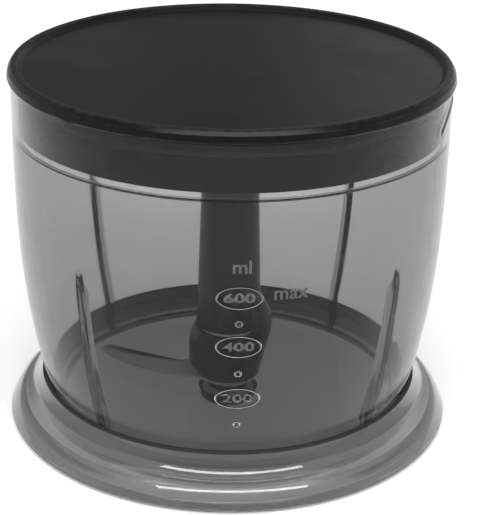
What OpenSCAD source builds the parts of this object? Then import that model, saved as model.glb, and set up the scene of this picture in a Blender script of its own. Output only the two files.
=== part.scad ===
// Chopper bowl of a hand blender: tinted clear bowl on a flared foot, storage lid,
// and a two-blade insert that turns on a steel pin. Millimetres, +Z up, origin at
// the centre of the foot's underside. The graduated side of the bowl faces -Y.

/* [Bowl] */
// Largest outer radius of the bowl wall
bowl_r = 66.1; // [60:0.1:72]
// Outer radius of the bowl where it enters the foot
bowl_base_r = 58.6; // [54:0.1:60]
// Height of the bowl's rim
bowl_h = 111; // [106:0.5:120]
// Height of the joint between bowl and foot
joint_z = 14.7; // [12:0.1:18]
// Wall thickness
wall = 2.7; // [2:0.1:3.5]
// Height of the floor's upper face
floor_z = 6.5; // [6:0.1:8]
// Height of the step that the lid's skirt stops above
ledge_z = 95; // [90:0.5:97]
// Depth of that step
ledge_step = 1; // [0.6:0.1:1.4]

/* [Inner ribs] */
// Number of ribs on the inside of the wall
rib_count = 4; // [2:1:6]
// Height at which each rib runs out into the wall
rib_top_z = 66; // [40:1:80]
// How far a rib stands into the bowl at the floor
rib_depth = 3.2; // [2:0.1:5]
// Thickness of a rib
rib_t = 2; // [1.2:0.1:3]

/* [Foot] */
// Outer radius of the foot
foot_r = 70; // [68:0.5:76]
// Thickness of the sloping joint gasket
gasket_h = 0.5; // [0.4:0.1:1]
// Radial width of the anti-slip ring
grip_w = 2; // [1.5:0.1:3]

/* [Pin and blades] */
// Radius of the steel pin
pin_r = 3; // [2.5:0.1:3.5]
// Height of the pin's tip
pin_top_z = 66; // [50:1:72]
// Radial running clearance between pin and sleeve
pin_gap = 0.05; // [0.02:0.01:0.1]
// Reach of the blades from the axis
blade_reach = 45; // [36:1:47]
// Thickness of a blade
blade_t = 1.2; // [0.8:0.1:1.5]
// Height of the lower blade's underside
lower_blade_z = 9.8; // [9.5:0.1:10.5]
// Height of the upper blade's underside
upper_blade_z = 27; // [24:0.5:32]
// Angle that each blade sweeps from root to tip
blade_sweep = -14; // [-16:1:-4]
// Height of the hub's upper end
hub_top_z = 94; // [88:0.5:96]
// Width across the flats of the drive socket
drive_af = 8; // [6:0.5:9]

/* [Lid] */
// Outer radius of the lid's flange
lid_r = 67; // [66.6:0.1:69]
// Height of the lid's rim
lid_top_z = 114.8; // [114:0.1:118]
// Height of the recessed panel
panel_z = 113.2; // [112.8:0.1:113.6]
// Height of the lower end of the lid's skirt
skirt_z = 96.5; // [96:0.1:104]

/* [Hidden] */
$fn = 96;

tint = [0.45, 0.45, 0.46, 0.45];
jet = [0.08, 0.08, 0.08];
satin = [0.16, 0.16, 0.17];
steel = [0.75, 0.76, 0.78];
brass = [0.78, 0.65, 0.35];

// Height of the widest part of the bowl, and how sharply the wall draws in below it
belly_z = 90;
wall_power = 2.5;
floor_t = 1.5;
floor_fillet = 5;
base_chamfer = 3;
boss_r = 9;
boss_bottom_z = 1.2;
pad_r = 5.5;
pad_z = 7.2;
pin_seat_z = 2.2;
neck_r = bowl_r - wall + ledge_step - 0.1;

// Share of the floor depth that a rib keeps up to its tip, and the height of the tip's slope
rib_keep = 0.7;
rib_tip_h = 8;

// Relief groove in the inner wall under the step
groove_h = 0.7;
groove_d = 0.4;
groove_top_z = ledge_z - 0.3;

// Bayonet ramps on the outside of the neck
ramp_count = 3;
ramp_first = -142;
ramp_tilt = 28;
ramp_z = 105;
ramp_proud = 0.4;
ramp_l = 17;
ramp_t = 2.4;

gasket_t = 1;
gasket_fall = 0.5;
foot_top_r = bowl_base_r + gasket_t;
foot_top_z = joint_z - gasket_h - gasket_fall;
foot_rim_z = 1.4;
foot_bottom_z = 0.8;
foot_shell = 2.4;
foot_wave = 0.6;
collar_t = 2.2;
rim_block_r = 64.6;
shelf_r = 54;
shelf_z = 3.2;
grip_r = 66.9;
grip_top_z = 1.6;

sleeve_r = 4.3;
sleeve_bottom_z = 8;
sleeve_h = pin_top_z + 2 - sleeve_bottom_z;
washer_z = 7.2;
washer_t = 0.6;
hub_base_r = 10.3;
hub_tip_r = 8.4;
hub_base_z = lower_blade_z + blade_t;
collar_r = 6.2;
root_r = 9.2;
blade_tip_half = 1.6;
blade_root_half = 7.2;
blade_taper = 0.7;
lower_blade_az = 170;
upper_blade_az = 97;
low_shoulder_az = 130;
low_shoulder_sweep = 100;
high_shoulder_az = -50;
high_shoulder_sweep = 170;
insert_r = 6.4;
socket_z = 80;
socket_floor = 2;

seal_z = 106.4;
seal_h = 1.9;
seal_in_r = 62.8;
skirt_r = neck_r - 0.5;
skirt_t = 1.8;
lid_gap = 0.3;

// Outer radius of the wall at height z: constant above the belly, a power curve below
function draw_in(z) = max(0, min(1, (belly_z - z) / (belly_z - joint_z)));
function wall_r(z) = bowl_r - (bowl_r - bowl_base_r) * pow(draw_in(z), wall_power);
function inner_r(z) = wall_r(z) - wall;

// Height of the foot's ogee at radius r: steep at both ends, flatter half way
function foot_s(r) = (r - foot_top_r) / (foot_r - foot_top_r);
function foot_drop(s) = s + foot_wave * sin(360 * s) / (2 * PI);
function foot_z(r) = foot_top_z - (foot_top_z - foot_rim_z) * foot_drop(foot_s(r));

function arc(cx, cy, r, a0, a1, n = 6) =
  [for (i = [0:n]) [cx + r * cos(a0 + (a1 - a0) * i / n), cy + r * sin(a0 + (a1 - a0) * i / n)]];

// How far a rib stands in at height z: a slow taper, and a steep one over the tip
function rib_reach(z) = rib_depth
  * (rib_keep + (1 - rib_keep) * (rib_top_z - z) / (rib_top_z - floor_z))
  * min(1, (rib_top_z - z) / rib_tip_h);

module rib() {
  steps = 14;
  low = floor_z - 0.6;
  zs = [for (i = [0:steps]) low + (rib_top_z - low) * i / steps];
  backs = [for (z = zs) [wall_r(z) - wall / 2, z]];
  fronts = [for (i = [steps:-1:0]) [inner_r(zs[i]) - rib_reach(zs[i]), zs[i]]];
  rotate([90, 0, 0])
    translate([0, 0, -rib_t / 2])
      linear_extrude(rib_t)
        polygon(concat(backs, fronts));
}

module bayonet_ramp() {
  intersection() {
    difference() {
      translate([0, 0, ledge_z]) cylinder(h = bowl_h - ledge_z - 1, r = bowl_r + ramp_proud);
      translate([0, 0, ledge_z - 1]) cylinder(h = bowl_h - ledge_z + 2, r = bowl_r - 0.4);
    }
    translate([bowl_r, 0, ramp_z])
      rotate([ramp_tilt, 0, 0])
        cube([6, ramp_l, ramp_t], center = true);
  }
}

module bowl() {
  outer = [for (i = [0:12]) let (z = joint_z + (belly_z - joint_z) * i / 12) [wall_r(z), z]];
  inner = [for (i = [12:-1:0]) let (z = joint_z + (belly_z - joint_z) * i / 12) [inner_r(z), z]];
  corner_r = inner_r(joint_z) - floor_fillet;
  profile = concat(
    [[0, boss_bottom_z], [boss_r, boss_bottom_z], [boss_r, floor_z - floor_t]],
    [[bowl_base_r - base_chamfer, floor_z - floor_t],
     [bowl_base_r, floor_z - floor_t + base_chamfer]],
    outer,
    arc(bowl_r - 0.6, bowl_h - 0.6, 0.6, 0, 90, 3),
    arc(neck_r + 0.5, bowl_h - 0.5, 0.5, 90, 180, 3),
    [[neck_r, ledge_z + 0.4], [inner_r(ledge_z), ledge_z]],
    [[inner_r(ledge_z), groove_top_z], [inner_r(ledge_z) + groove_d, groove_top_z - groove_h / 2],
     [inner_r(ledge_z), groove_top_z - groove_h]],
    inner,
    arc(corner_r, floor_z + floor_fillet, floor_fillet, 0, -90),
    [[pad_r + 1, floor_z], [pad_r, pad_z], [pin_r, pad_z], [pin_r, pin_seat_z], [0, pin_seat_z]]
  );
  color(tint)
    union() {
      rotate_extrude() polygon(profile);
      for (i = [0:rib_count - 1]) rotate([0, 0, 45 + i * 360 / rib_count]) rib();
      for (i = [0:ramp_count - 1]) rotate([0, 0, ramp_first + i * 360 / ramp_count]) bayonet_ramp();
    }
}

module foot_ring() {
  ogee = [for (i = [0:20]) let (r = foot_top_r + (foot_r - foot_top_r) * i / 20) [r, foot_z(r)]];
  under = [for (i = [4:-1:0])
    let (r = bowl_base_r + collar_t + (rim_block_r - bowl_base_r - collar_t) * i / 4)
      [r, foot_z(r) - foot_shell]];
  color(tint)
    rotate_extrude()
      difference() {
        polygon(concat(
          [[shelf_r, shelf_z], [bowl_base_r + collar_t, shelf_z]],
          [[bowl_base_r + collar_t, foot_bottom_z], [foot_r - 0.5, foot_bottom_z]],
          [[foot_r, foot_rim_z - 0.1]],
          [for (i = [20:-1:0]) ogee[i]],
          [[bowl_base_r, joint_z - gasket_h]],
          [[bowl_base_r, floor_z - floor_t], [shelf_r, floor_z - floor_t]]
        ));
        polygon(concat([[bowl_base_r + collar_t, -1], [rim_block_r, -1]], under));
        translate([grip_r, -1]) square([grip_w, grip_top_z + 1]);
      }
}

module foot_gasket() {
  color(jet)
    rotate_extrude()
      polygon([
        [bowl_base_r, joint_z - gasket_h], [foot_top_r, foot_top_z],
        [foot_top_r, joint_z - gasket_fall], [bowl_base_r, joint_z]
      ]);
}

module anti_slip_ring() {
  color(jet)
    rotate_extrude()
      translate([grip_r, 0]) square([grip_w, grip_top_z]);
}

module centre_pin() {
  tip = 1.5;
  color(steel)
    rotate_extrude()
      polygon(concat(
        [[0, pin_seat_z], [pin_r, pin_seat_z], [pin_r, pin_top_z - tip]],
        arc(pin_r - tip, pin_top_z - tip, tip, 15, 90, 5),
        [[0, pin_top_z]]
      ));
}

module thrust_washer() {
  color(steel)
    difference() {
      translate([0, 0, washer_z]) cylinder(h = washer_t, r = pad_r - 0.3);
      translate([0, 0, washer_z - 1]) cylinder(h = washer_t + 2, r = pin_r);
    }
}

module blade_collar() {
  color(jet)
    rotate_extrude()
      polygon([
        [sleeve_r, sleeve_bottom_z], [collar_r - 0.8, sleeve_bottom_z],
        [collar_r, sleeve_bottom_z + 0.8], [collar_r, lower_blade_z], [sleeve_r, lower_blade_z]
      ]);
}

// One blade: a root disc with the sleeve's hole, and an arm that tapers and sweeps to its tip
module blade(sweep) {
  steps = 12;
  function reach(t) = blade_reach * t;
  function half_w(t) = blade_tip_half + (blade_root_half - blade_tip_half) * pow(1 - t, blade_taper);
  function turn(t) = sweep * t * t;
  function edge(t, side) = [
    reach(t) * cos(turn(t)) - side * half_w(t) * sin(turn(t)),
    reach(t) * sin(turn(t)) + side * half_w(t) * cos(turn(t))
  ];
  difference() {
    union() {
      cylinder(h = blade_t, r = root_r);
      linear_extrude(blade_t)
        polygon(concat(
          [for (i = [0:steps]) edge(i / steps, 1)],
          [for (i = [steps:-1:0]) edge(i / steps, -1)]
        ));
    }
    translate([0, 0, -1]) cylinder(h = blade_t + 2, r = sleeve_r);
  }
}

module lower_blade() {
  color(steel)
    translate([0, 0, lower_blade_z])
      rotate([0, 0, lower_blade_az])
        blade(blade_sweep);
}

module upper_blade() {
  color(steel)
    translate([0, 0, upper_blade_z])
      rotate([0, 0, upper_blade_az])
        blade(blade_sweep);
}

// The two shoulders that back the blades, swept part of the way round the hub
module low_shoulder() {
  rotate([0, 0, low_shoulder_az])
    rotate_extrude(angle = low_shoulder_sweep)
      polygon([[6, 14], [11.8, 14], [12.6, 14.8], [12.7, 21], [12.2, 24.4], [10.2, 28.5], [6, 29.5]]);
}

module high_shoulder() {
  rotate([0, 0, high_shoulder_az])
    rotate_extrude(angle = high_shoulder_sweep)
      polygon([
        [6, 12.6], [10.6, 13.4], [11.8, 18.6], [13.2, 24], [13.9, 28.4],
        [13.7, 31], [12.6, 33.6], [10.9, 35.6], [6, 38.5]
      ]);
}

module hub_column() {
  cap = 0.8;
  rotate_extrude()
    polygon([
      [0, hub_base_z], [hub_base_r - 0.4, hub_base_z], [hub_base_r, hub_base_z + 0.4],
      [hub_base_r, upper_blade_z], [hub_tip_r, hub_top_z - cap], [hub_tip_r - cap, hub_top_z],
      [0, hub_top_z]
    ]);
}

module hub_outer() {
  union() {
    hub_column();
    low_shoulder();
    high_shoulder();
  }
}

module sleeve_hole() {
  translate([0, 0, sleeve_bottom_z - 1]) cylinder(h = sleeve_h + 1, r = sleeve_r);
}

module blade_block() {
  color(jet)
    difference() {
      intersection() {
        hub_outer();
        cylinder(h = upper_blade_z, r = 20);
      }
      sleeve_hole();
    }
}

module upper_hub() {
  low = upper_blade_z + blade_t;
  color(jet)
    difference() {
      intersection() {
        hub_outer();
        translate([0, 0, low]) cylinder(h = hub_top_z - low, r = 20);
      }
      sleeve_hole();
      translate([0, 0, socket_z]) cylinder(h = hub_top_z - socket_z + 1, r = insert_r);
    }
}

module hub_sleeve() {
  color(brass)
    difference() {
      translate([0, 0, sleeve_bottom_z]) cylinder(h = sleeve_h, r = sleeve_r);
      translate([0, 0, sleeve_bottom_z - 1]) cylinder(h = sleeve_h + 2, r = pin_r + pin_gap);
    }
}

module drive_insert() {
  color(satin)
    difference() {
      translate([0, 0, socket_z]) cylinder(h = hub_top_z - socket_z - 0.6, r = insert_r);
      translate([0, 0, socket_z + socket_floor])
        cylinder(h = hub_top_z - socket_z, r = drive_af / sqrt(3), $fn = 6);
    }
}

module lid_cap() {
  under_z = bowl_h + lid_gap;
  crest_r = 1.3;
  profile = concat(
    [[0, under_z - 0.3], [skirt_r - skirt_t - 1, under_z - 0.3], [skirt_r - skirt_t, under_z - 1.3]],
    [[skirt_r - skirt_t, skirt_z], [skirt_r - 0.5, skirt_z], [skirt_r, skirt_z + 0.6]],
    [[skirt_r, seal_z], [seal_in_r, seal_z], [seal_in_r, seal_z + seal_h], [skirt_r, seal_z + seal_h]],
    [[skirt_r, under_z], [lid_r - 0.2, under_z], [lid_r, under_z + 0.3]],
    arc(lid_r - 0.6 - crest_r, lid_top_z - crest_r, crest_r, 10, 90),
    [[lid_r - 0.8 - 2 * crest_r, lid_top_z - 0.2], [lid_r - 1.6 - 2 * crest_r, panel_z + 0.4],
     [lid_r - 2.2 - 2 * crest_r, panel_z], [0, panel_z]]
  );
  color(satin) rotate_extrude() polygon(profile);
}

module lid_seal() {
  lip_r = neck_r - 0.25;
  color(jet)
    rotate_extrude()
      polygon([
        [seal_in_r, seal_z], [skirt_r - 0.1, seal_z], [lip_r, seal_z + 0.7],
        [lip_r, seal_z + 1.2], [skirt_r - 0.1, seal_z + seal_h], [seal_in_r, seal_z + seal_h]
      ]);
}

bowl();
foot_ring();
foot_gasket();
anti_slip_ring();
centre_pin();
thrust_washer();
blade_collar();
lower_blade();
blade_block();
upper_blade();
upper_hub();
hub_sleeve();
drive_insert();
lid_cap();
lid_seal();
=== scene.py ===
import math

import bpy
import numpy as np
from mathutils import Matrix, Vector


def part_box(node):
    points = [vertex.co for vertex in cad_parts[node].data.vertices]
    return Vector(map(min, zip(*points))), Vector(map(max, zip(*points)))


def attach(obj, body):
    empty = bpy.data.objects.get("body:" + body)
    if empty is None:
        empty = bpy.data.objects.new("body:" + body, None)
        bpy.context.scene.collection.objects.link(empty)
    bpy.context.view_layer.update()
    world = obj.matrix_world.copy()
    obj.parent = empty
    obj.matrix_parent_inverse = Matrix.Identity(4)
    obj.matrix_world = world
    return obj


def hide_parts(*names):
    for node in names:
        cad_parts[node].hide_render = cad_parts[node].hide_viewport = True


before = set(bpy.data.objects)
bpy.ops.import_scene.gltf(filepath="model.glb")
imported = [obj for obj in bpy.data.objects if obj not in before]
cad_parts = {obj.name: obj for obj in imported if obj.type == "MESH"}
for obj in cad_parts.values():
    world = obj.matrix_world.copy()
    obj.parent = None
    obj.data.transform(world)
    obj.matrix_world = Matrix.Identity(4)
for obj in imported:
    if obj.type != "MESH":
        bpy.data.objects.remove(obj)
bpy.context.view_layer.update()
scene = bpy.context.scene
mm = 0.001  # the shapes below are worked out in millimetres, and made in metres
skin = 0.03  # air left between two clear or touching pieces, so that their faces don't coincide
pinRadius = 3.0  # the steel pin, round which the bowl's boss, the washer and the sleeve fit
sleeveRadius = 4.3  # the brass sleeve's outside, round which the blade insert's pieces fit


def boxOf(node):
    low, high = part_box(node)
    return np.array(low) / mm, np.array(high) / mm


print("frame loaded:", len(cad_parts), "nodes")

# camera

cameraPlan = {
    "distance": 452.8,  # from the bowl's axis, along the floor
    "height": 248.2,
    "azimuth": -3.5,  # degrees round from the scale side, negative towards its left
    "pitch": 23.64,
    "yaw": 0.36,
    "roll": 0.93,
    "lens": 109.7,
    "clip": (0.01, 50),
}


def placeCamera(plan):
    turn = math.radians(plan["azimuth"])
    heading = turn - math.radians(plan["yaw"])
    pitch = math.radians(plan["pitch"])
    roll = math.radians(plan["roll"])
    level = math.cos(pitch)
    forward = Vector((-math.sin(heading) * level, math.cos(heading) * level, -math.sin(pitch)))
    right = forward.cross(Vector((0, 0, 1))).normalized()
    up = right.cross(forward)
    rolledRight = right * math.cos(roll) + up * math.sin(roll)
    rolledUp = up * math.cos(roll) - right * math.sin(roll)
    matrix = Matrix((rolledRight, rolledUp, -forward)).transposed().to_4x4()
    matrix.translation = Vector((math.sin(turn), -math.cos(turn), 0)) * plan["distance"] * mm
    matrix.translation.z = plan["height"] * mm
    data = bpy.data.cameras.new("camera")
    data.lens = plan["lens"]
    data.clip_start, data.clip_end = plan["clip"]
    camera = bpy.data.objects.new("camera", data)
    scene.collection.objects.link(camera)
    camera.matrix_world = matrix
    scene.camera = camera


placeCamera(cameraPlan)

# mesh making


# A corner is (radius, height, fillet). A fillet is an arc that touches both sides: its centre lies on the
# corner's bisector at fillet over the sine of half the corner's angle, and its points are equal angles apart.
def roundedOutline(corners, steps=6):
    points = np.array([corner[:2] for corner in corners], float)
    pieces = []
    for i, corner in enumerate(corners):
        fillet = corner[2] if len(corner) > 2 else 0
        if not fillet:
            pieces.append(points[i][None])
            continue
        back = points[i - 1] - points[i]
        ahead = points[(i + 1) % len(points)] - points[i]
        room = 0.49 * min(np.linalg.norm(back), np.linalg.norm(ahead))
        back, ahead = back / np.linalg.norm(back), ahead / np.linalg.norm(ahead)
        half = math.acos(np.clip(back @ ahead, -1, 1)) / 2
        reach = min(fillet / math.tan(half), room)
        radius = reach * math.tan(half)
        centre = points[i] + (back + ahead) / np.linalg.norm(back + ahead) * radius / math.sin(half)
        first, last = points[i] + back * reach - centre, points[i] + ahead * reach - centre
        sweep = math.acos(np.clip(first @ last / radius**2, -1, 1))
        t = np.linspace(0, 1, steps + 1)[:, None]
        pieces.append(centre + (np.sin((1 - t) * sweep) * first + np.sin(t * sweep) * last) / math.sin(sweep))
    return np.concatenate(pieces)


# Divides an outline's straight runs: a point near each end, so that a fillet's shading doesn't run out over
# the flat beside it, and points every step between. Sides shorter than least are left as they are.
def spread(outline, step, ring=False, guard=0.35, least=2.4):
    loop = np.vstack([outline, outline[:1]]) if ring else outline
    pieces = []
    for start, end in zip(loop[:-1], loop[1:]):
        length = np.hypot(*(end - start))
        marks = [0.0]
        if length > least:
            count = max(1, math.ceil((length - 2 * guard) / step))
            marks = np.concatenate([[0], np.linspace(guard, length - guard, count + 1)]) / length
        pieces.append(start + np.array(marks)[:, None] * (end - start))
    if not ring:
        pieces.append(loop[-1:])
    return np.concatenate(pieces)


# Puts a grid of points, rows by columns, into a mesh. The columns close on themselves, the rows do too if
# ring is set, and otherwise the first and last row are drawn to one point each. Faces look along the
# columns' direction crossed with the rows' direction.
def gridObject(name, grid, ring, edge=None, sharp=40):
    rows, columns = grid.shape[:2]
    index = np.arange(rows * columns).reshape(rows, columns)
    ahead = np.roll(index, -1, 1)
    if ring:
        lower, upper = index, np.roll(index, -1, 0)
        lowerAhead, upperAhead = ahead, np.roll(ahead, -1, 0)
        caps = []
    else:
        lower, upper = index[1:-2], index[2:-1]
        lowerAhead, upperAhead = ahead[1:-2], ahead[2:-1]
        start, end = np.full(columns, index[0, 0]), np.full(columns, index[-1, 0])
        caps = [np.stack([start, ahead[1], index[1]], 1), np.stack([index[-2], ahead[-2], end], 1)]
    quads = np.stack([lower, lowerAhead, upperAhead, upper], -1).reshape(-1, 4)
    triangles = np.concatenate(caps) if caps else np.zeros((0, 3), int)
    corners = np.concatenate([quads.ravel(), triangles.ravel()])
    starts = np.concatenate([np.arange(len(quads)) * 4, len(quads) * 4 + np.arange(len(triangles)) * 3])
    used, corners = np.unique(corners, return_inverse=True)
    mesh = bpy.data.meshes.new(name)
    mesh.vertices.add(len(used))
    mesh.vertices.foreach_set("co", (grid.reshape(-1, 3)[used] * mm).astype(np.float32).ravel())
    mesh.loops.add(len(corners))
    mesh.loops.foreach_set("vertex_index", corners.astype(np.int32))
    mesh.polygons.add(len(starts))
    mesh.polygons.foreach_set("loop_start", starts.astype(np.int32))
    mesh.update(calc_edges=True)
    mesh.validate()
    mesh.shade_smooth()
    mesh.set_sharp_from_angle(angle=math.radians(sharp))
    if edge is not None:
        wear = np.broadcast_to(edge[:, None], (rows, columns)).ravel()[used]
        mesh.attributes.new("edge", "FLOAT", "POINT").data.foreach_set("value", wear.astype(np.float32))
    piece = bpy.data.objects.new(name, mesh)
    scene.collection.objects.link(piece)
    return piece


# How convex an outline is at each point, from 0 on flats to 1 on a corner of 1 mm radius or less: the
# angle turned at the point over the length beside it, smoothed over its neighbours.
def convexity(outline, ring):
    loop = np.vstack([outline[-1:], outline, outline[:1]])
    steps = np.diff(loop, axis=0)
    lengths = np.hypot(*steps.T) + 1e-9
    turned = steps[:-1, 0] * steps[1:, 1] - steps[:-1, 1] * steps[1:, 0]
    rate = turned / (lengths[:-1] * lengths[1:]) / (0.5 * (lengths[:-1] + lengths[1:]))
    if not ring:
        rate[[0, -1]] = 0
    rate = np.clip(rate, 0, 1)
    return (np.roll(rate, 1) + 2 * rate + np.roll(rate, -1)) / 4


# Evenly spaced angles all the way round
def around(count):
    return np.linspace(0, 2 * np.pi, count, endpoint=False)


# A surface of revolution: the outline's radius turned through every angle. lift, if given, says how far each
# point of the grid stands out along the outline's normal, as a function of angle, radius, height and normal.
def revolve(name, outline, ring=False, theta=around(192), lift=None):
    along = np.roll(outline, -1, 0) - np.roll(outline, 1, 0) if ring else np.gradient(outline, axis=0)
    along /= np.linalg.norm(along, axis=1, keepdims=True)
    outR, outZ = along[:, 1:2], -along[:, 0:1]
    radius, height = outline[:, 0:1], outline[:, 1:2]
    offset = 0 if lift is None else lift(theta[None], radius, height, outR, outZ)
    r = radius + outR * offset + 0 * theta[None]
    z = height + outZ * offset + 0 * theta[None]
    grid = np.stack([r * np.cos(theta), r * np.sin(theta), z], -1)
    return gridObject(name, grid, ring, convexity(outline, ring))


# Goes smoothly from 0 at low to 1 at high, as 3 t squared minus 2 t cubed
def smooth(value, low, high):
    t = np.clip((value - low) / (high - low), 0, 1)
    return t * t * (3 - 2 * t)


# Distance between two angles, in radians, never more than pi
def angleGap(a, b):
    return np.abs((a - b + np.pi) % (2 * np.pi) - np.pi)


def finished(piece, material, body, slot, *nodes):
    piece.data.materials.append(material)
    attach(piece, body)
    if nodes:
        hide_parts(*nodes)


# shader groups and materials


# Adds a node. Each of its values is a number, a colour, or another node's socket that is linked in.
def addNode(tree, kind, values=None, **settings):
    node = tree.nodes.new(kind)
    for key, value in settings.items():
        setattr(node, key, value)
    for key, value in (values or {}).items():
        if isinstance(value, bpy.types.NodeSocket):
            tree.links.new(value, node.inputs[key])
        else:
            node.inputs[key].default_value = value
    return node


def noise(tree, place, scale, **values):
    values = {"Vector": place, "Scale": scale, **values}
    return addNode(tree, "ShaderNodeTexNoise", values).outputs["Fac"]


def maths(tree, operation, *values, clamped=False):
    node = addNode(tree, "ShaderNodeMath", dict(enumerate(values)), operation=operation, use_clamp=clamped)
    return node.outputs[0]


# Takes a value from the range low to high into the range toLow to toHigh
def ranged(tree, value, low, high, toLow=0.0, toHigh=1.0, **settings):
    values = {"Value": value, "From Min": low, "From Max": high, "To Min": toLow, "To Max": toHigh}
    return addNode(tree, "ShaderNodeMapRange", values, **settings).outputs[0]


# Mixes two colours, either of which may be another node's socket
def mixed(tree, mask, first, second):
    pair = [c if isinstance(c, bpy.types.NodeSocket) else (*c, 1) for c in (first, second)]
    values = {0: mask, 6: pair[0], 7: pair[1]}
    return addNode(tree, "ShaderNodeMix", values, data_type="RGBA").outputs[2]


# Starts a group. An input is a number with a default, or a vector where the default is None; outputs are
# numbers.
def newGroup(name, inputs, outputs):
    group = bpy.data.node_groups.new(name, "ShaderNodeTree")
    for socket, value in inputs.items():
        kind = "NodeSocketVector" if value is None else "NodeSocketFloat"
        made = group.interface.new_socket(name=socket, in_out="INPUT", socket_type=kind)
        if value is not None:
            made.default_value = value
    for socket in outputs:
        group.interface.new_socket(name=socket, in_out="OUTPUT", socket_type="NodeSocketFloat")
    return group, group.nodes.new("NodeGroupInput").outputs, group.nodes.new("NodeGroupOutput").inputs


# Fine moulded or blasted grain: two sizes of noise, the finer one at half the height of the coarser.
# Height is their sum; Speckle is where the fine one is high.
def makeGrainGroup():
    group, given, result = newGroup("mouldedGrain", {"Vector": None, "Scale": 1500.0}, ["Height", "Speckle"])
    place, scale = given["Vector"], given["Scale"]
    coarse = noise(group, place, scale, Detail=2.0, Roughness=0.6)
    fine = noise(group, place, maths(group, "MULTIPLY", scale, 2.7), Detail=1.0)
    group.links.new(maths(group, "MULTIPLY_ADD", fine, 0.5, coarse), result["Height"])
    group.links.new(ranged(group, fine, 0.55, 0.75), result["Speckle"])
    return group


# Handling: broad smudges, and fine scratches as thin bands of a stretched noise round its middle value.
# Mask is the smudges plus the scratches, from 0 to 1.
def makeHandlingGroup():
    inputs = {"Vector": None, "Smudge Scale": 40.0, "Scratches": 0.3}
    group, given, result = newGroup("handlingMarks", inputs, ["Mask"])
    place = given["Vector"]
    broad = noise(group, place, given["Smudge Scale"], Detail=4.0, Roughness=0.55, Distortion=0.6)
    smudges = ranged(group, broad, 0.4, 0.72)
    stretch = {"Vector": place, "Rotation": (0.3, 0.5, 0.9), "Scale": (14.0, 260.0, 260.0)}
    stretched = addNode(group, "ShaderNodeMapping", stretch).outputs["Vector"]
    lines = noise(group, stretched, 1.0, Detail=1.0, Distortion=0.2)
    away = maths(group, "ABSOLUTE", maths(group, "SUBTRACT", lines, 0.5))
    scratches = maths(group, "MULTIPLY", ranged(group, away, 0.0, 0.012, 1.0, 0.0), given["Scratches"])
    group.links.new(maths(group, "ADD", scratches, smudges, clamped=True), result["Mask"])
    return group


# Edge wear: the piece's own edge mask, broken up by noise so that only parts of a corner are worn.
def makeWearGroup():
    group, given, result = newGroup("edgeWear", {"Vector": None, "Edge": 0.0, "Amount": 0.6}, ["Mask"])
    patches = ranged(group, noise(group, given["Vector"], 420.0, Detail=3.0), 0.42, 0.62)
    worn = maths(group, "MULTIPLY", patches, given["Edge"])
    group.links.new(maths(group, "MULTIPLY", worn, given["Amount"], clamped=True), result["Mask"])
    return group


# Turned or brushed metal: noise that is long along the tool's path and short across it. Across is the
# coordinate that changes from one line to the next.
def makeBrushGroup():
    inputs = {"Along": 0.0, "Across": 0.0, "Lines": 9000.0}
    group, given, result = newGroup("toolLines", inputs, ["Height", "Streak"])
    lines = maths(group, "MULTIPLY", given["Across"], given["Lines"])
    path = addNode(group, "ShaderNodeCombineXYZ", {"X": given["Along"], "Y": lines}).outputs[0]
    height = noise(group, path, 1.0, Detail=3.0, Roughness=0.7)
    group.links.new(height, result["Height"])
    group.links.new(ranged(group, height, 0.35, 0.65), result["Streak"])
    return group


groups = {
    "grain": makeGrainGroup(),
    "handling": makeHandlingGroup(),
    "wear": makeWearGroup(),
    "brush": makeBrushGroup(),
}


def placeGroup(tree, key, **values):
    values = {socket.replace("_", " "): value for socket, value in values.items()}
    return addNode(tree, "ShaderNodeGroup", values, node_tree=groups[key]).outputs


def newMaterial(name, **plain):
    material = bpy.data.materials.new(name)
    material.use_nodes = True
    tree = material.node_tree
    sockets = tree.nodes["Principled BSDF"].inputs
    for socket, value in plain.items():
        sockets[socket.replace("_", " ")].default_value = value
    place = addNode(tree, "ShaderNodeTexCoord").outputs["Object"]
    return material, tree, sockets, place


# Takes roughness from rough to dulled where the piece has been handled
def dullByHandling(tree, sockets, place, marks, rough, dulled, scratches):
    mask = placeGroup(tree, "handling", Vector=place, Smudge_Scale=marks, Scratches=scratches)["Mask"]
    tree.links.new(ranged(tree, mask, 0.0, 1.0, rough, dulled), sockets["Roughness"])


def bumpInto(tree, sockets, height, strength, distance):
    values = {"Height": height, "Strength": strength, "Distance": distance}
    tree.links.new(addNode(tree, "ShaderNodeBump", values).outputs[0], sockets["Normal"])


clearLook = {
    "ior": 1.45,
    "reflects": 0.4,  # how much of the plastic's own mirror reflection is kept where it's seen face on
    "coatIor": 1.5,
    "coatGloss": 0.03,
    "smudges": 34.0,  # scale of the handling marks
    "waves": 55.0,  # scale of the slow waves that moulding leaves
    "waveStrength": 0.5,
    "waveHeight": 0.00004,  # in metres
}


# Smoke-grey clear plastic. It bends light, takes an even share of it per metre, its density, and is polished
# except where handling has dulled it; the surface has the slow waves of a moulding.
def clearPlastic(name, density, gloss, dull, scratches, coat=0.0, clear=1.0, grey=1.0):
    s = clearLook
    tint = s["reflects"]
    material, tree, sockets, place = newMaterial(
        name, Base_Color=(grey, grey, grey, 1), Transmission_Weight=clear, IOR=s["ior"], Roughness=gloss,
        Specular_Tint=(tint, tint, tint, 1), Coat_Weight=coat, Coat_Roughness=s["coatGloss"],
        Coat_IOR=s["coatIor"],
    )
    dullByHandling(tree, sockets, place, s["smudges"], gloss, dull, scratches)
    waves = noise(tree, place, s["waves"], Detail=1.0)
    bumpInto(tree, sockets, waves, s["waveStrength"], s["waveHeight"])
    volume = addNode(tree, "ShaderNodeVolumeAbsorption", {"Color": (0, 0, 0, 1), "Density": density})
    tree.links.new(volume.outputs[0], tree.nodes["Material Output"].inputs["Volume"])
    return material


blackLook = {"ior": 1.47, "smudges": 26.0, "scratches": 0.35, "grainStrength": 0.6}
wornBlack = (0.03, 0.03, 0.03)


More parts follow.
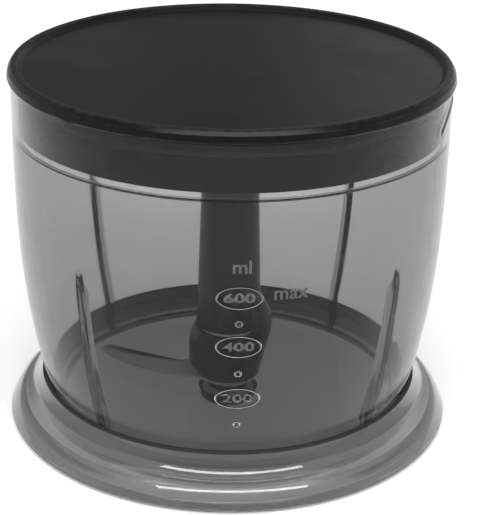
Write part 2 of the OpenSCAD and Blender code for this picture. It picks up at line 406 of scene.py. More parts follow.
# Black moulded plastic or rubber: base colour is lifted a little by dust in the grain and where edges are
# worn; roughness follows handling; bump is the grain.
def blackMoulded(name, colour, rough, dulled, grainScale, grainHeight, worn=wornBlack, wear=0.5, specular=0.5,
                 dust=1.25):
    s = blackLook
    material, tree, sockets, place = newMaterial(name, IOR=s["ior"], Specular_IOR_Level=specular)
    grain = placeGroup(tree, "grain", Vector=place, Scale=grainScale)
    edge = addNode(tree, "ShaderNodeAttribute", attribute_name="edge").outputs["Fac"]
    edges = placeGroup(tree, "wear", Vector=place, Edge=edge, Amount=wear)
    dusty = mixed(tree, grain["Speckle"], colour, [c * dust for c in colour])
    tree.links.new(mixed(tree, edges["Mask"], dusty, worn), sockets["Base Color"])
    dullByHandling(tree, sockets, place, s["smudges"], rough, dulled, s["scratches"])
    bumpInto(tree, sockets, grain["Height"], s["grainStrength"], grainHeight)
    return material


metalLook = {"smudges": 90.0, "scratches": 0.5, "stretch": 60.0, "lineStrength": 0.25, "lineHeight": 0.00002}


# Metal with tool lines. On a turned piece the lines run round the axis, so across is height plus radius and
# along is the angle; on a blade they run across it, so across is the distance along the blade.
def tooledMetal(name, colour, shade, rough, dulled, lines, turned):
    s = metalLook
    material, tree, sockets, place = newMaterial(name, Metallic=1.0)
    parts = addNode(tree, "ShaderNodeSeparateXYZ", {0: place}).outputs
    if turned:
        flat = addNode(tree, "ShaderNodeCombineXYZ", {"X": parts["X"], "Y": parts["Y"]}).outputs[0]
        radius = addNode(tree, "ShaderNodeVectorMath", {0: flat}, operation="LENGTH").outputs["Value"]
        across = maths(tree, "ADD", radius, parts["Z"])
        along = maths(tree, "ARCTAN2", parts["Y"], parts["X"])
    else:
        across = parts["X"]
        along = maths(tree, "MULTIPLY", parts["Y"], s["stretch"])
    brush = placeGroup(tree, "brush", Across=across, Along=along, Lines=lines)
    tree.links.new(mixed(tree, brush["Streak"], shade, colour), sockets["Base Color"])
    dullByHandling(tree, sockets, place, s["smudges"], rough, dulled, s["scratches"])
    bumpInto(tree, sockets, brush["Height"], s["lineStrength"], s["lineHeight"])
    return material


look = {
    "bowl": clearPlastic("smokeClearBowl", density=212.0, gloss=0.015, dull=0.07, scratches=0.4),
    "foot": clearPlastic(
        "smokeClearFoot", density=140.0, gloss=0.17, dull=0.21, scratches=0.25, coat=1.0, clear=0.93,
        grey=0.8),
    "marks": clearPlastic("raisedClear", density=260.0, gloss=0.08, dull=0.16, scratches=0.2),
    # The digits look is the raised clear plastic with a little diffuse white in it. That white is partly
    # painted highlight: it lightens the numbers and the ml, standing in for the highlights on raised clear
    # letters.
    "digits": clearPlastic("raisedClearPaintedHighlight", density=260.0, gloss=0.2, dull=0.3, scratches=0.2, clear=0.95),
    # The max lettering is raised clear plastic. This look makes it opaque dark grey, which is painted shade
    # standing in for the dark refracted edges it shows against the bright wall.
    "print": clearPlastic(
        "raisedPaintedShade", density=7000.0, gloss=0.3, dull=0.4, scratches=0.2, clear=0.0, grey=0.09),
    "lid": blackMoulded(
        "satinLid", (0.006, 0.006, 0.0065), rough=0.24, dulled=0.34, grainScale=2600.0, grainHeight=0.000008,
        specular=0.12, dust=1.08),
    "hub": blackMoulded(
        "hubPlastic", (0.01, 0.01, 0.0105), rough=0.32, dulled=0.4, grainScale=900.0, grainHeight=0.000004,
        dust=1.05),
    "insert": blackMoulded(
        "insertPlastic", (0.05, 0.05, 0.052), rough=0.4, dulled=0.55, grainScale=1800.0, grainHeight=0.00003,
        worn=(0.12, 0.12, 0.12)),
    "rubber": blackMoulded(
        "softRubber", (0.012, 0.012, 0.012), rough=0.6, dulled=0.8, grainScale=1300.0, grainHeight=0.00005,
        wear=0.3),
    "steel": tooledMetal(
        "turnedSteel", (0.62, 0.62, 0.63), (0.5, 0.5, 0.51), rough=0.16, dulled=0.32, lines=14000.0,
        turned=True),
    "blade": tooledMetal(
        "brushedBlade", (0.9, 0.9, 0.91), (0.8, 0.8, 0.81), rough=0.72, dulled=0.82, lines=7000.0,
        turned=False),
    "brass": tooledMetal(
        "turnedBrass", (0.72, 0.53, 0.27), (0.6, 0.42, 0.2), rough=0.22, dulled=0.4, lines=12000.0,
        turned=True),
}
print("materials made:", len(look))

# bowl

bowlShape = {
    "belly": 66.1,  # largest outer radius
    "base": 58.6,  # outer radius in the foot
    "jointHeight": 14.7,
    "bellyHeight": 90.0,
    "power": 2.5,
    "wall": 2.7,
    "floorTop": 6.5,
    "floorUnder": 5.0,
    "fillet": 5.0,
    "ledge": 95.0,
    "grooveTop": 94.7,
    "grooveTall": 0.7,
    "grooveDeep": 0.4,
    "ledgeStep": 0.9,
    "bossRadius": 9.0,
    "padRadius": 5.5,
    "padTop": 7.2,
    "pinHole": pinRadius + skin,
    "pinHoleEnd": 2.2 - skin,
    "facets": 142,  # between the ribs and ramps, which have closer ones of their own
}
ribShape = {
    "count": 4,
    "first": 45.0,
    "top": 66.0,
    "depth": 3.2,
    "keep": 0.7,  # share of the depth that is left just under the tip
    "tip": 8.0,
    "width": 2.2,
    "draft": 1.0,
    "outside": 40.0,  # radius outside which the bowl's inner face is its wall
    "closer": (1.9, 19),  # half angle in degrees, and count, of the closer facets
}
rampShape = {
    "count": 3,
    "first": -142.0,
    "length": 17.0,
    "width": 4.6,
    "proud": 0.4,
    "rise": 28.0,
    "height": 105.0,
    "fade": 2.0,
    "below": 5.5,  # distance under the ramps' middle from which rows are closer
    "closer": (7.6, 33),
}
bowlLow, bowlHigh = boxOf("bowl")
rimHeight = bowlHigh[2]


# Outer radius of the wall: constant above the belly, and below it the belly's radius less a power of the
# height's share of the way down to the joint
def wallRadius(z):
    s = bowlShape
    share = np.clip((s["bellyHeight"] - z) / (s["bellyHeight"] - s["jointHeight"]), 0, 1)
    return s["belly"] - (s["belly"] - s["base"]) * share ** s["power"]


# The bowl's closed outline: boss and floor from below, outer wall, rounded rim, neck, ledge, inner wall,
# floor fillet and the pad round the pin's hole
def bowlOutline():
    s = bowlShape
    closer = rampShape["height"] - rampShape["below"]
    lower = np.linspace(s["jointHeight"], closer, 44)[:-1]
    heights = np.concatenate([lower, np.linspace(closer, rimHeight - 1.2, 26)])
    outer = np.stack([wallRadius(heights) - skin * (heights < s["jointHeight"] + 0.5), heights], 1)
    grooveEnd = s["grooveTop"] - s["grooveTall"]
    inside = np.linspace(grooveEnd - 0.2, s["jointHeight"], 50)
    inner = np.stack([wallRadius(inside) - s["wall"], inside], 1)
    wall, foot = inner[0, 0], inner[-1, 0]
    neck = s["belly"] - s["wall"] + s["ledgeStep"]
    under = roundedOutline([
        (0, bowlLow[2]), (s["bossRadius"], bowlLow[2], 1.0), (s["bossRadius"], s["floorUnder"], 0.8),
        (s["base"] - 3.0, s["floorUnder"], 0.6), (s["base"] - skin, s["floorUnder"] + 3.0, 0.6),
        (s["base"] - skin, s["jointHeight"] - 0.5),
    ])
    rim = roundedOutline([
        (s["belly"], rimHeight - 1.1), (s["belly"], rimHeight, 0.6), (neck, rimHeight, 0.6),
        (neck, s["ledge"] + 0.2, 0.15), (wall, s["ledge"], 0.1), (wall, s["grooveTop"], 0.05),
        (wall + s["grooveDeep"], s["grooveTop"] - s["grooveTall"] / 2, 0.05),
        (wall, grooveEnd, 0.05), (wall, grooveEnd - 0.2),
    ])
    floor = roundedOutline([
        (foot, s["jointHeight"] - 0.6), (foot, s["floorTop"], s["fillet"]),
        (s["padRadius"] + 1, s["floorTop"], 0.5), (s["padRadius"] + 0.4, s["padTop"], 0.4),
        (s["pinHole"], s["padTop"], 0.15),
        (s["pinHole"], s["pinHoleEnd"]), (0, s["pinHoleEnd"]),
    ], steps=8)
    return np.concatenate([under, outer, rim, inner[1:], floor])


# Evenly spaced angles of the ribs or the ramps, from the first one on
def centresOf(shape):
    return np.radians(shape["first"] + np.arange(shape["count"]) * 360 / shape["count"])


# Ribs stand in from the inner wall only. Upwards a rib tapers slowly from the floor, and steeply over its
# tip. Across its width it falls away smoothly, as a moulded rib's draft does.
def ribLift(theta, radius, height, outR, outZ):
    s = ribShape
    share = np.clip((s["top"] - height) / (s["top"] - bowlShape["floorTop"]), 0, 1)
    tall = s["depth"] * (s["keep"] + (1 - s["keep"]) * share) * smooth(s["top"] - height, 0, s["tip"])
    facesIn = np.clip(-outR, 0, 1) ** 0.5 * (radius > s["outside"]) * (height < s["top"])
    off = np.min([angleGap(theta, c) for c in centresOf(s)], axis=0) * radius
    across = 1 - smooth(off, s["width"] / 2 - s["draft"] / 2, s["width"] / 2 + s["draft"] / 2)
    return tall * facesIn * across


# Twist-lock ramps stand out from the neck's outer face. On the unrolled wall a ramp is a straight bead at an
# angle: its section is a raised cosine, and it falls smoothly to nothing at both ends.
def rampLift(theta, radius, height, outR, outZ):
    s = rampShape
    rise = math.radians(s["rise"])
    total = 0
    for centre in centresOf(s):
        arc = ((theta - centre + np.pi) % (2 * np.pi) - np.pi) * radius
        up = height - s["height"]
        along = arc * math.cos(rise) + up * math.sin(rise)
        off = np.clip((up * math.cos(rise) - arc * math.sin(rise)) / (s["width"] / 2), -1, 1)
        ends = 1 - smooth(np.abs(along), s["length"] / 2 - s["fade"], s["length"] / 2)
        total = total + s["proud"] * (0.5 + 0.5 * np.cos(np.pi * off)) * ends
    return total * (outR > 0.9) * (height > bowlShape["ledge"])


def bowlLift(*place):
    return ribLift(*place) + rampLift(*place)


# Evenly spaced angles, replaced by closer ones at each rib and each ramp
def bowlAngles():
    angles = around(bowlShape["facets"])
    for shape in (rampShape, ribShape):
        centres, (half, count) = centresOf(shape), shape["closer"]
        near = np.radians(np.linspace(-half, half, count))
        free = np.min([angleGap(angles, c) for c in centres], axis=0) > np.radians(half * 1.04)
        angles = np.concatenate([angles[free], (centres[:, None] + near[None]).ravel() % (2 * np.pi)])
    return np.sort(angles)


bowl = revolve("bowlShell", spread(bowlOutline(), 1.7), theta=bowlAngles(), lift=bowlLift)
print("bowl made:", len(bowl.data.polygons), "faces")
finished(bowl, look["bowl"], "base", "tinted_clear", "bowl")

# foot

footShape = {
    "wave": 0.6,  # how much steeper the ogee is at its ends than half way
    "gasketThick": 0.5,
    "gasketFall": 0.5,
    "gasketWidth": 1.0,
    "rimHeight": 1.4,
    "collar": 2.2,
    "shell": 2.4,
    "rimInner": 64.6,
    "shelf": 54.0,
    "shelfUnder": 3.2,
    "gripInner": 66.9,
    "gripWidth": 2.0,
    "gripTop": 1.6,
}
footLow, footHigh = boxOf("foot_ring")
footRadius = footHigh[0]
footTop = bowlShape["base"] + footShape["gasketWidth"]
footTopHeight = bowlShape["jointHeight"] - footShape["gasketThick"] - footShape["gasketFall"]


# Height of the foot's ogee at radius r: a straight fall from the gasket to the rim, plus a sine wave that
# makes it steep at both ends and flatter half way
def footHeight(r):
    share = (r - footTop) / (footRadius - footTop)
    drop = share + footShape["wave"] * np.sin(2 * np.pi * share) / (2 * np.pi)
    return footTopHeight - (footTopHeight - footShape["rimHeight"]) * drop


def footOutline():
    s = footShape
    base = bowlShape["base"]
    ogee = np.linspace(footRadius - 0.02, footTop + 0.2, 48)
    hidden = np.linspace(base + s["collar"], s["rimInner"], 16)
    seat = bowlShape["jointHeight"] - s["gasketThick"] - skin
    gripOuter, gripRoof = s["gripInner"] + s["gripWidth"] + skin, s["gripTop"] + skin
    rimPart = roundedOutline([
        (gripOuter, gripRoof), (gripOuter, footLow[2], 0.2), (footRadius, footLow[2], 0.5),
        (footRadius, s["rimHeight"]),
    ])
    top = roundedOutline([
        (footTop + 0.05, footTopHeight - skin), (base + skin, seat, 0.1),
        (base + skin, bowlShape["floorUnder"] - skin, 0.1), (s["shelf"], bowlShape["floorUnder"] - skin, 0.3),
        (s["shelf"], s["shelfUnder"], 0.3), (base + s["collar"], s["shelfUnder"], 0.3),
        (base + s["collar"], footHeight(base + s["collar"]) - s["shell"]),
    ])
    pocket = np.stack([hidden, footHeight(hidden) - s["shell"]], 1)[1:]
    under = roundedOutline([
        (s["rimInner"], footLow[2] + 0.2), (s["rimInner"], footLow[2], 0.2),
        (s["gripInner"] - skin, footLow[2], 0.2), (s["gripInner"] - skin, gripRoof),
    ])
    curve = np.stack([ogee, footHeight(ogee)], 1)
    return np.concatenate([rimPart, curve, top, pocket, under])


foot = revolve("footShell", spread(footOutline(), 1.2, ring=True), ring=True)
finished(foot, look["foot"], "base", "tinted_clear", "foot_ring")


# The gasket is a thin bead in the joint between the bowl and the foot. Its black rubber is partly painted
# shade, standing in for the shadow gap where the bowl's wall passes into the foot.
def gasketOutline():
    s = footShape
    base, top = bowlShape["base"], bowlShape["jointHeight"]
    return roundedOutline([
        (base + skin, top - s["gasketThick"], 0.05), (footTop, footTopHeight, 0.1),
        (footTop, top - s["gasketFall"], 0.2), (base + skin, top, 0.1),
    ])


gasket = revolve("jointGasketWithPaintedGapShade", spread(gasketOutline(), 0.5, ring=True, guard=0.1, least=0.4), ring=True)
finished(gasket, look["rubber"], "base", "black_rubber", "foot_gasket")


def gripOutline():
    s = footShape
    inner, outer = s["gripInner"], s["gripInner"] + s["gripWidth"]
    return roundedOutline([
        (inner, 0, 0.3), (outer, 0, 0.3), (outer, s["gripTop"], 0.2), (inner, s["gripTop"], 0.2),
    ])


grip = revolve("antiSlipRing", spread(gripOutline(), 0.8, ring=True, guard=0.2, least=0.6), ring=True)
finished(grip, look["rubber"], "base", "black_rubber", "anti_slip_ring")

# pin and washer

turnedShape = {
    "pinTip": 1.5,  # rounding of the pin's top
    "washerHole": pinRadius + 0.02,
    "sleeveHole": pinRadius + 0.05,
    "pinFacets": 48,
    "facets": 64,
}
pinLow, pinHigh = boxOf("centre_pin")
pin = revolve("centrePin", spread(roundedOutline([
    (0, pinLow[2]), (pinRadius, pinLow[2], 0.3),
    (pinRadius, pinHigh[2], turnedShape["pinTip"]), (0, pinHigh[2]),
]), 2.0), theta=around(turnedShape["pinFacets"]))
finished(pin, look["steel"], "base", "stainless_steel", "centre_pin")

washerLow, washerHigh = boxOf("thrust_washer")
washer = revolve("thrustWasher", roundedOutline([
    (turnedShape["washerHole"], washerLow[2] + skin, 0.1), (washerHigh[0], washerLow[2] + skin, 0.15),
    (washerHigh[0], washerHigh[2], 0.15), (turnedShape["washerHole"], washerHigh[2], 0.1),
]), ring=True, theta=around(turnedShape["facets"]))
finished(washer, look["steel"], "base", "stainless_steel", "thrust_washer")

# blade insert

hubShape = {
    "baseRadius": 10.3,
    "tipRadius": 8.4,
    "sleeve": sleeveRadius + skin,
    "sleeveEnd": 68.0,
    "socketFloor": 80.0,
    "socketRadius": 6.4 + skin,
    "shoulderFade": 14.0,  # degrees over which a shoulder's ends fade out
    "facets": 128,
}
lowShoulder = {
    "azimuth": 180.0,
    "half": 50.0,
    "heights": [13.9, 14.3, 21.0, 24.4, 28.5],
    "proud": [0, 2.3, 2.4, 1.9, 0],
}
highShoulder = {
    "azimuth": 35.0,
    "half": 85.0,
    "heights": [12.4, 13.4, 18.6, 24.0, 28.4, 31.0, 33.6, 35.8, 38.5],
    "proud": [0, 0.3, 1.5, 2.9, 3.6, 3.5, 2.5, 1.1, 0],
}
blockLow, blockHigh = boxOf("blade_block")
hubLow, hubHigh = boxOf("upper_hub")


# Radius of the plain column: even up to the upper blade, then a straight taper to the top
def columnRadius(z):
    s = hubShape
    share = np.clip((z - blockHigh[2]) / (hubHigh[2] - blockHigh[2]), 0, 1)
    return s["baseRadius"] - (s["baseRadius"] - s["tipRadius"]) * share


# The shoulders stand out from the column's outer face, smooth in height between their given heights, and
# fade out round the hub at both ends
def shoulderLift(theta, radius, height, outR, outZ):
    s = hubShape
    total = 0
    for shoulder in (lowShoulder, highShoulder):
        tall = np.interp(height, shoulder["heights"], shoulder["proud"])
        gap = np.degrees(angleGap(theta, math.radians(shoulder["azimuth"])))
        total = total + tall * (1 - smooth(gap, shoulder["half"] - s["shoulderFade"], shoulder["half"]))
    return total * (outR > 0.5) * (radius > s["tipRadius"] - 1)


hubAngles = around(hubShape["facets"])
block = revolve("bladeBlock", spread(roundedOutline([
    (hubShape["sleeve"], blockLow[2], 0.2), (hubShape["baseRadius"], blockLow[2], 0.5),
    (hubShape["baseRadius"], blockHigh[2] - skin, 0.2), (hubShape["sleeve"], blockHigh[2] - skin, 0.2),
]), 0.4, ring=True), ring=True, theta=hubAngles, lift=shoulderLift)
finished(block, look["hub"], "blade_insert", "hub_plastic", "blade_block")


def hubOutline():
    s = hubShape
    low, high = hubLow[2] + skin, hubHigh[2]
    return roundedOutline([
        (0, s["sleeveEnd"] + skin), (s["sleeve"], s["sleeveEnd"] + skin, 0.2), (s["sleeve"], low, 0.2),
        (columnRadius(low), low, 0.3), (s["tipRadius"], high, 1.0), (s["socketRadius"], high, 0.4),
        (s["socketRadius"], s["socketFloor"] - skin, 0.1), (0, s["socketFloor"] - skin),
    ])


hub = revolve("upperHub", spread(hubOutline(), 0.9), theta=hubAngles, lift=shoulderLift)
finished(hub, look["hub"], "blade_insert", "hub_plastic", "upper_hub")

collarLow, collarHigh = boxOf("blade_collar")
collar = revolve("bladeCollar", spread(roundedOutline([
    (hubShape["sleeve"], collarLow[2], 0.15), (collarHigh[0], collarLow[2], 0.8),
    (collarHigh[0], collarHigh[2] - skin, 0.2), (hubShape["sleeve"], collarHigh[2] - skin, 0.15),
]), 0.5, ring=True), ring=True, theta=hubAngles)
finished(collar, look["hub"], "blade_insert", "hub_plastic", "blade_collar")

sleeveLow, sleeveHigh = boxOf("hub_sleeve")
sleeve = revolve("hubSleeve", spread(roundedOutline([
    (turnedShape["sleeveHole"], sleeveLow[2], 0.2), (sleeveRadius, sleeveLow[2], 0.2),
    (sleeveRadius, sleeveHigh[2], 0.2), (turnedShape["sleeveHole"], sleeveHigh[2], 0.2),
]), 2.0, ring=True), ring=True, theta=around(turnedShape["facets"]))
finished(sleeve, look["brass"], "blade_insert", "brass", "hub_sleeve")

insertShape = {"radius": 6.4, "flats": 8.0, "floor": 2.0, "blunt": 0.12, "facets": 144}
insertLow, insertHigh = boxOf("drive_insert")


# The socket's wall is a hexagon with rounded corners: the inscribed radius over the cosine of the angle from
# the nearest flat, held to a little under the corner's radius
def hexLift(theta, radius, height, outR, outZ):
    inscribed = insertShape["flats"] / 2
    away = (theta + np.pi / 6) % (np.pi / 3) - np.pi / 6
    corner = inscribed / math.cos(math.pi / 6) - insertShape["blunt"]
    hexagon = np.minimum(inscribed / np.cos(away), corner)
    return (inscribed - hexagon) * (radius < inscribed + 0.6) * np.clip(-outR, 0, 1)


def insertOutline():
    s = insertShape
    low, high, floor = insertLow[2], insertHigh[2], insertLow[2] + s["floor"]
    return roundedOutline([
        (0, low), (s["radius"], low, 0.3), (s["radius"], high, 0.4), (s["flats"] / 2 + 0.05, high, 0.5),
        (s["flats"] / 2, floor, 0.2), (0, floor),
    ])


insert = revolve(
    "driveInsert", spread(insertOutline(), 0.7), theta=around(insertShape["facets"]), lift=hexLift)
finished(insert, look["insert"], "blade_insert", "black_plastic", "drive_insert")

bladeShape = {
    "reach": 45.0,
    "rootHalf": 7.2,
    "tipHalf": 1.6,
    "power": 0.7,
    "sweep": -14.0,
    "root": 9.2,
    "hole": sleeveRadius + skin,
    "bevel": 2.13,  # width of the ground bevel
    "rim": 0.25,  # width of the slope round the rest
    "rimDrop": 0.15,
    "edgeThick": 0.15,
    "onset": (1.0, 8.0),  # distances from the root over which the bevel begins
    "azimuths": {"lower": 170.0, "upper": 97.0},
}


# One side of the arm: a centre line whose angle grows with the square of the distance, and a half width that
# falls by a power of what is left of the length
def armSide(t, side):
    s = bladeShape
    half = s["tipHalf"] + (s["rootHalf"] - s["tipHalf"]) * (1 - t) ** s["power"]
    angle = np.radians(s["sweep"]) * t * t
    x = s["reach"] * t * np.cos(angle) - side * half * np.sin(angle)
    y = s["reach"] * t * np.sin(angle) + side * half * np.cos(angle)
    return np.stack([x, y], 1)


# The blade's outline goes out along the leading side, over the tip, back along the trailing side and round
# the root disc. Rows run from the hole to a bevel line, down to the thin edge and back underneath.
def bladeGrid(azimuth, low, high):
    s = bladeShape
    t = np.linspace(0, 1, 200)
    trailing, leading = armSide(t, -1), armSide(t, 1)
    outside = [np.hypot(*side.T) > s["root"] for side in (trailing, leading)]
    trailing, leading = trailing[outside[0] & (t > 0.1)], leading[outside[1] & (t > 0.1)]
    first = math.atan2(*leading[0][::-1])
    last = math.atan2(*trailing[0][::-1]) + 2 * math.pi
    discAngles = np.linspace(first, last, 60)[1:-1]
    disc = np.stack([np.cos(discAngles), np.sin(discAngles)], 1) * s["root"]
    ground = len(trailing[::2])
    outline = np.concatenate([trailing[::2], leading[::-2], disc])
    turned = np.linspace(last - 2 * math.pi, first, ground + len(leading[::-2]))
    holeAngles = np.concatenate([turned, discAngles])
    hole = np.stack([np.cos(holeAngles), np.sin(holeAngles)], 1) * s["hole"]
    along = np.roll(outline, -1, 0) - np.roll(outline, 1, 0)
    along /= np.linalg.norm(along, axis=1, keepdims=True)
    inward = np.stack([-along[:, 1], along[:, 0]], 1)
    onArm = smooth(np.hypot(*outline.T), *[s["root"] + d for d in s["onset"]])
    onArm = onArm * (np.arange(len(outline)) < ground)
    inset = outline + inward * (s["rim"] + (s["bevel"] - s["rim"]) * onArm[:, None])
    under, over = np.full(len(outline), low + skin), np.full(len(outline), high - skin)
    thin = under + s["edgeThick"] + (high - low - s["edgeThick"] - s["rimDrop"]) * (1 - onArm)
    shares = np.linspace(0, 1, 7)
    bottom = [np.column_stack([hole + (outline - hole) * w, under]) for w in shares]
    top = [np.column_stack([inset + (hole - inset) * w, over]) for w in shares]
    grid = np.stack(bottom + [np.column_stack([outline, thin])] + top)
    c, n = math.cos(math.radians(azimuth)), math.sin(math.radians(azimuth))
    x, y = grid[..., 0] * c - grid[..., 1] * n, grid[..., 0] * n + grid[..., 1] * c
    return np.stack([x, y, grid[..., 2]], -1)


for which, azimuth in bladeShape["azimuths"].items():
    low, high = boxOf(which + "_blade")
    blade = gridObject(which + "Blade", bladeGrid(azimuth, low[2], high[2]), ring=True, sharp=25)
    finished(blade, look["blade"], "blade_insert", "stainless_steel", which + "_blade")
print("bowl, foot and blade insert made")

# lid

lidShape = {
    "flangeUnder": 111.3,
    "panelUnder": 111.0,
    "panelTop": 113.2,
    "skirt": 63.8,
    "skirtThick": 1.8,
    "sealGroove": 62.8,
    "sealHeight": 106.4,
    "sealTall": 1.9,
    "lip": (0.7, 1.2),  # the soft lip's lower and upper edge, over the foot of its groove
    "rim": [(0.45, 1.5, 0.8), (1.5, 0.0, 0.9), (3.2, 0.1, 0.7)],  # inset, drop and fillet of each corner
    "panelInset": 4.4,
    "facets": 256,
}
lidLow, lidHigh = boxOf("lid_cap")


def lidOutline():
    s = lidShape
    inner = s["skirt"] - s["skirtThick"]
    outer, top = lidHigh[0], lidHigh[2]
    sealTop = s["sealHeight"] + s["sealTall"]
    rim = [(outer - inset, top - drop, fillet) for inset, drop, fillet in s["rim"]]
    return roundedOutline([
        (0, s["panelUnder"]), (inner, s["panelUnder"], 1.2), (inner, lidLow[2], 0.5),
        (s["skirt"], lidLow[2], 0.6), (s["skirt"], s["sealHeight"], 0.1),
        (s["sealGroove"], s["sealHeight"], 0.1), (s["sealGroove"], sealTop, 0.1), (s["skirt"], sealTop, 0.1),
        (s["skirt"], s["flangeUnder"], 0.2), (outer - 0.05, s["flangeUnder"], 0.25),
        *rim, (outer - s["panelInset"], s["panelTop"], 0.5), (0, s["panelTop"]),
    ])


lidPoints = spread(lidOutline(), 2.5, guard=0.3, least=0.9)
lid = revolve("lidCap", lidPoints, theta=around(lidShape["facets"]))
finished(lid, look["lid"], "lid", "black_plastic", "lid_cap")


def sealOutline():
    s = lidShape
    low, high = s["sealHeight"] + skin, s["sealHeight"] + s["sealTall"] - skin
    reach = boxOf("lid_seal")[1][0]
    lip = [(reach, low + edge, 0.2) for edge in s["lip"]]
    return roundedOutline([
        (s["sealGroove"] + skin, low, 0.1), (s["skirt"] - 0.1, low, 0.15), *lip,
        (s["skirt"] - 0.1, high, 0.15), (s["sealGroove"] + skin, high, 0.1),
    ])


seal = revolve("lidSeal", spread(sealOutline(), 0.8, ring=True, guard=0.1, least=0.4), ring=True)
finished(seal, look["rubber"], "lid", "black_rubber", "lid_seal")
print("lid made")

# fill scale on the bowl's front

scaleShape = {
    "numbers": {"600": 66.7, "400": 51.3, "200": 33.9},
    "dots": [58.7, 42.4, 24.6],
    "middle": -1.1,  # the whole scale stands a little to the left of the bowl's front
    "ovalWide": 12.5,
    "ovalTall": 6.6,
    "bead": 0.5,
    "proud": 0.26,
    "dotWide": 1.7,
    "digitTall": 2.9,
    "digitStretch": 1.5,
    "letterSize": 1.35,  # the font's size over the height of its digits
    "letterBevel": 0.08,
    "letterWeight": 0.02,
    "unit": {"words": "ml", "across": 0.6, "height": 76.1, "tall": 4.2},
    "limit": {"words": "max", "across": 14.4, "height": 67.1, "tall": 4.3},
}


# Wraps flat coordinates on to the front of the wall: across becomes an angle, distance over radius, and out
# is added to the wall's radius at that height
def onWall(across, height, out):
    r = wallRadius(height)
    theta = -np.pi / 2 + (across + scaleShape["middle"]) / r
    r = r + skin + out
    return np.stack([r * np.cos(theta), r * np.sin(theta), height + 0 * r], -1)


# A bead whose half-round section is carried round an ellipse
def ovalGrid(height, wide, tall, bead, proud):
    path = around(96)[:, None]
    section = around(12)[None]
    side = np.cos(section) * bead / 2
    out = (0.5 + 0.5 * np.sin(section)) * proud
    across = (wide / 2 + side) * np.cos(path)
    up = height + (tall / 2 + side) * np.sin(path)
    return onWall(across, up, out)


def raisedOval(name, height, wide, tall):
    s = scaleShape
    oval = gridObject(name, ovalGrid(height, wide, tall, s["bead"], s["proud"]), ring=True)
    finished(oval, look["marks"], "base", "tinted_clear")


# Words as a font's outlines with a small bevel, wrapped on to the wall
def letters(name, words, across, height, tall, material, stretch=1.0):
    s = scaleShape
    curve = bpy.data.curves.new(name, "FONT")
    curve.body = words
    curve.size = tall * s["letterSize"]
    curve.align_x, curve.align_y = "CENTER", "CENTER"
    curve.extrude = s["proud"] / 2 - s["letterBevel"]
    curve.bevel_depth = s["letterBevel"]
    curve.offset = s["letterWeight"]
    curve.resolution_u = 4
    holder = bpy.data.objects.new(name, curve)
    scene.collection.objects.link(holder)
    bpy.context.view_layer.update()
    mesh = bpy.data.meshes.new_from_object(holder.evaluated_get(bpy.context.evaluated_depsgraph_get()))
    bpy.data.objects.remove(holder)
    flat = np.zeros(len(mesh.vertices) * 3, np.float32)
    mesh.vertices.foreach_get("co", flat)
    flat = flat.reshape(-1, 3).astype(float)
    middle = (flat[:, :2].max(0) + flat[:, :2].min(0)) / 2
    x, y = (flat[:, :2] - middle).T
    wrapped = onWall(across + x * stretch, height + y, flat[:, 2] - flat[:, 2].min())
    mesh.vertices.foreach_set("co", (wrapped * mm).astype(np.float32).ravel())
    mesh.update()
    mesh.name = name
    piece = bpy.data.objects.new(name, mesh)
    scene.collection.objects.link(piece)
    finished(piece, look[material], "base", "tinted_clear")


s = scaleShape
for words, height in s["numbers"].items():
    raisedOval("oval" + words, height, s["ovalWide"], s["ovalTall"])
    letters("number" + words, words, 0, height, s["digitTall"], "digits", s["digitStretch"])
for i, height in enumerate(s["dots"]):
    raisedOval(f"dot{i + 1}", height, s["dotWide"], s["dotWide"])
# The ml takes the digits look, lightened with a partly painted highlight. The max takes the print look,
# darkened with painted shade.
for name, material in (("unit", "digits"), ("limit", "print")):
    plan = s[name]
    place = plan["across"], plan["height"], plan["tall"]
    letters("scale" + name.capitalize(), plan["words"], *place, material)
print("fill scale made")

# floor, world and lights

studio = {
    "floor": (0.86, 0.86, 0.86),
    "floorHalf": 6.0,
    "floorRough": 0.9,
    "floorGlow": 0.21,  # light that the floor gives off by itself, as a light table does
    "back": 0.26,  # radiance of the studio behind the object, low down
    "right": 0.46,  # the same to the right of the camera's view
    "rightFrom": (0.07, 0.17),  # directions between which one value passes into the next
    "dark": 0.04,  # the same in one dim patch behind the object
    "darkPlace": (0.0535, 0.956, 0.287),
    "darkReach": (0.02, 0.08),
    "front": 0.35,
    "frontFrom": (0.5, -0.4),
    "sides": 0.75,  # the same far to the left and right, where two large pale screens stand
    "sidesFrom": (0.35, 0.8),
    "top": 0.45,
    "topFrom": (0.6, 0.9),
    "flatFrom": 75.0,  # elevation in degrees from which a light lies flat
    "frontBox": {"azimuth": 0.0, "elevation": 52.0, "distance": 1.1, "size": (1.3, 0.18), "power": 9.0},
    "overhead": {"azimuth": 180.0, "elevation": 80.0, "distance": 1.0, "size": (1.0, 1.0), "power": 3.8},
}


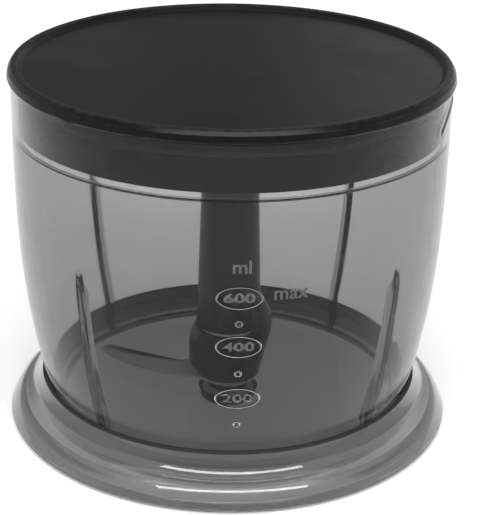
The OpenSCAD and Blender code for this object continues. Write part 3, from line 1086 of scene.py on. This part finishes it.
def makeFloor():
    data = bpy.data.meshes.new("floor")
    half = studio["floorHalf"]
    level = -skin * mm
    corners = [(x * half, y * half, level) for x, y in ((-1, -1), (1, -1), (1, 1), (-1, 1))]
    data.from_pydata(corners, [], [(0, 1, 2, 3)])
    floor = bpy.data.objects.new("floor", data)
    scene.collection.objects.link(floor)
    material = bpy.data.materials.new("paleFloor")
    material.use_nodes = True
    shader = material.node_tree.nodes["Principled BSDF"]
    shader.inputs["Base Color"].default_value = (*studio["floor"], 1)
    shader.inputs["Roughness"].default_value = studio["floorRough"]
    shader.inputs["Emission Color"].default_value = (1, 1, 1, 1)
    shader.inputs["Emission Strength"].default_value = studio["floorGlow"]
    data.materials.append(material)


def makeLight(name, plan):
    data = bpy.data.lights.new(name, "AREA")
    data.shape = "RECTANGLE"
    data.size, data.size_y = plan["size"]
    data.energy = plan["power"]
    light = bpy.data.objects.new(name, data)
    scene.collection.objects.link(light)
    azimuth, elevation = math.radians(plan["azimuth"]), math.radians(plan["elevation"])
    level = math.cos(elevation)
    away = Vector((math.sin(azimuth) * level, -math.cos(azimuth) * level, math.sin(elevation)))
    facing = away if plan["elevation"] < studio["flatFrom"] else Vector((0, 0, 1))
    light.location = away * plan["distance"]
    light.rotation_mode = "QUATERNION"
    light.rotation_quaternion = facing.to_track_quat("Z", "Y")


# The world is a pale studio, by direction, made of smooth steps. Round the walls the dim back, which is
# brighter on the right and dark in one patch, passes into the brighter front. Far to the left and right come
# pale screens, and with height all of it passes into the ceiling.
def makeWorld():
    s = studio
    world = bpy.data.worlds.new("studio")
    scene.world = world
    world.use_nodes = True
    tree = world.node_tree
    place = addNode(tree, "ShaderNodeTexCoord").outputs["Generated"]
    parts = addNode(tree, "ShaderNodeSeparateXYZ", {0: place}).outputs

    def step(value, reach, low, high):
        return ranged(tree, value, *reach, low, high, interpolation_type="SMOOTHSTEP")

    away = addNode(tree, "ShaderNodeVectorMath", {0: place, 1: s["darkPlace"]}, operation="DISTANCE")
    lightened = step(parts["X"], s["rightFrom"], s["back"], s["right"])
    behind = step(away.outputs["Value"], s["darkReach"], s["dark"], lightened)
    walls = step(parts["Y"], s["frontFrom"], behind, s["front"])
    screens = step(maths(tree, "ABSOLUTE", parts["X"]), s["sidesFrom"], walls, s["sides"])
    level = step(parts["Z"], s["topFrom"], screens, s["top"])
    tree.links.new(level, tree.nodes["Background"].inputs["Strength"])
    tree.nodes["Background"].inputs["Color"].default_value = (1, 1, 1, 1)


makeFloor()
for name in ("frontBox", "overhead"):
    makeLight(name, studio[name])
makeWorld()
scene.view_settings.view_transform = "Standard"
print("studio made")
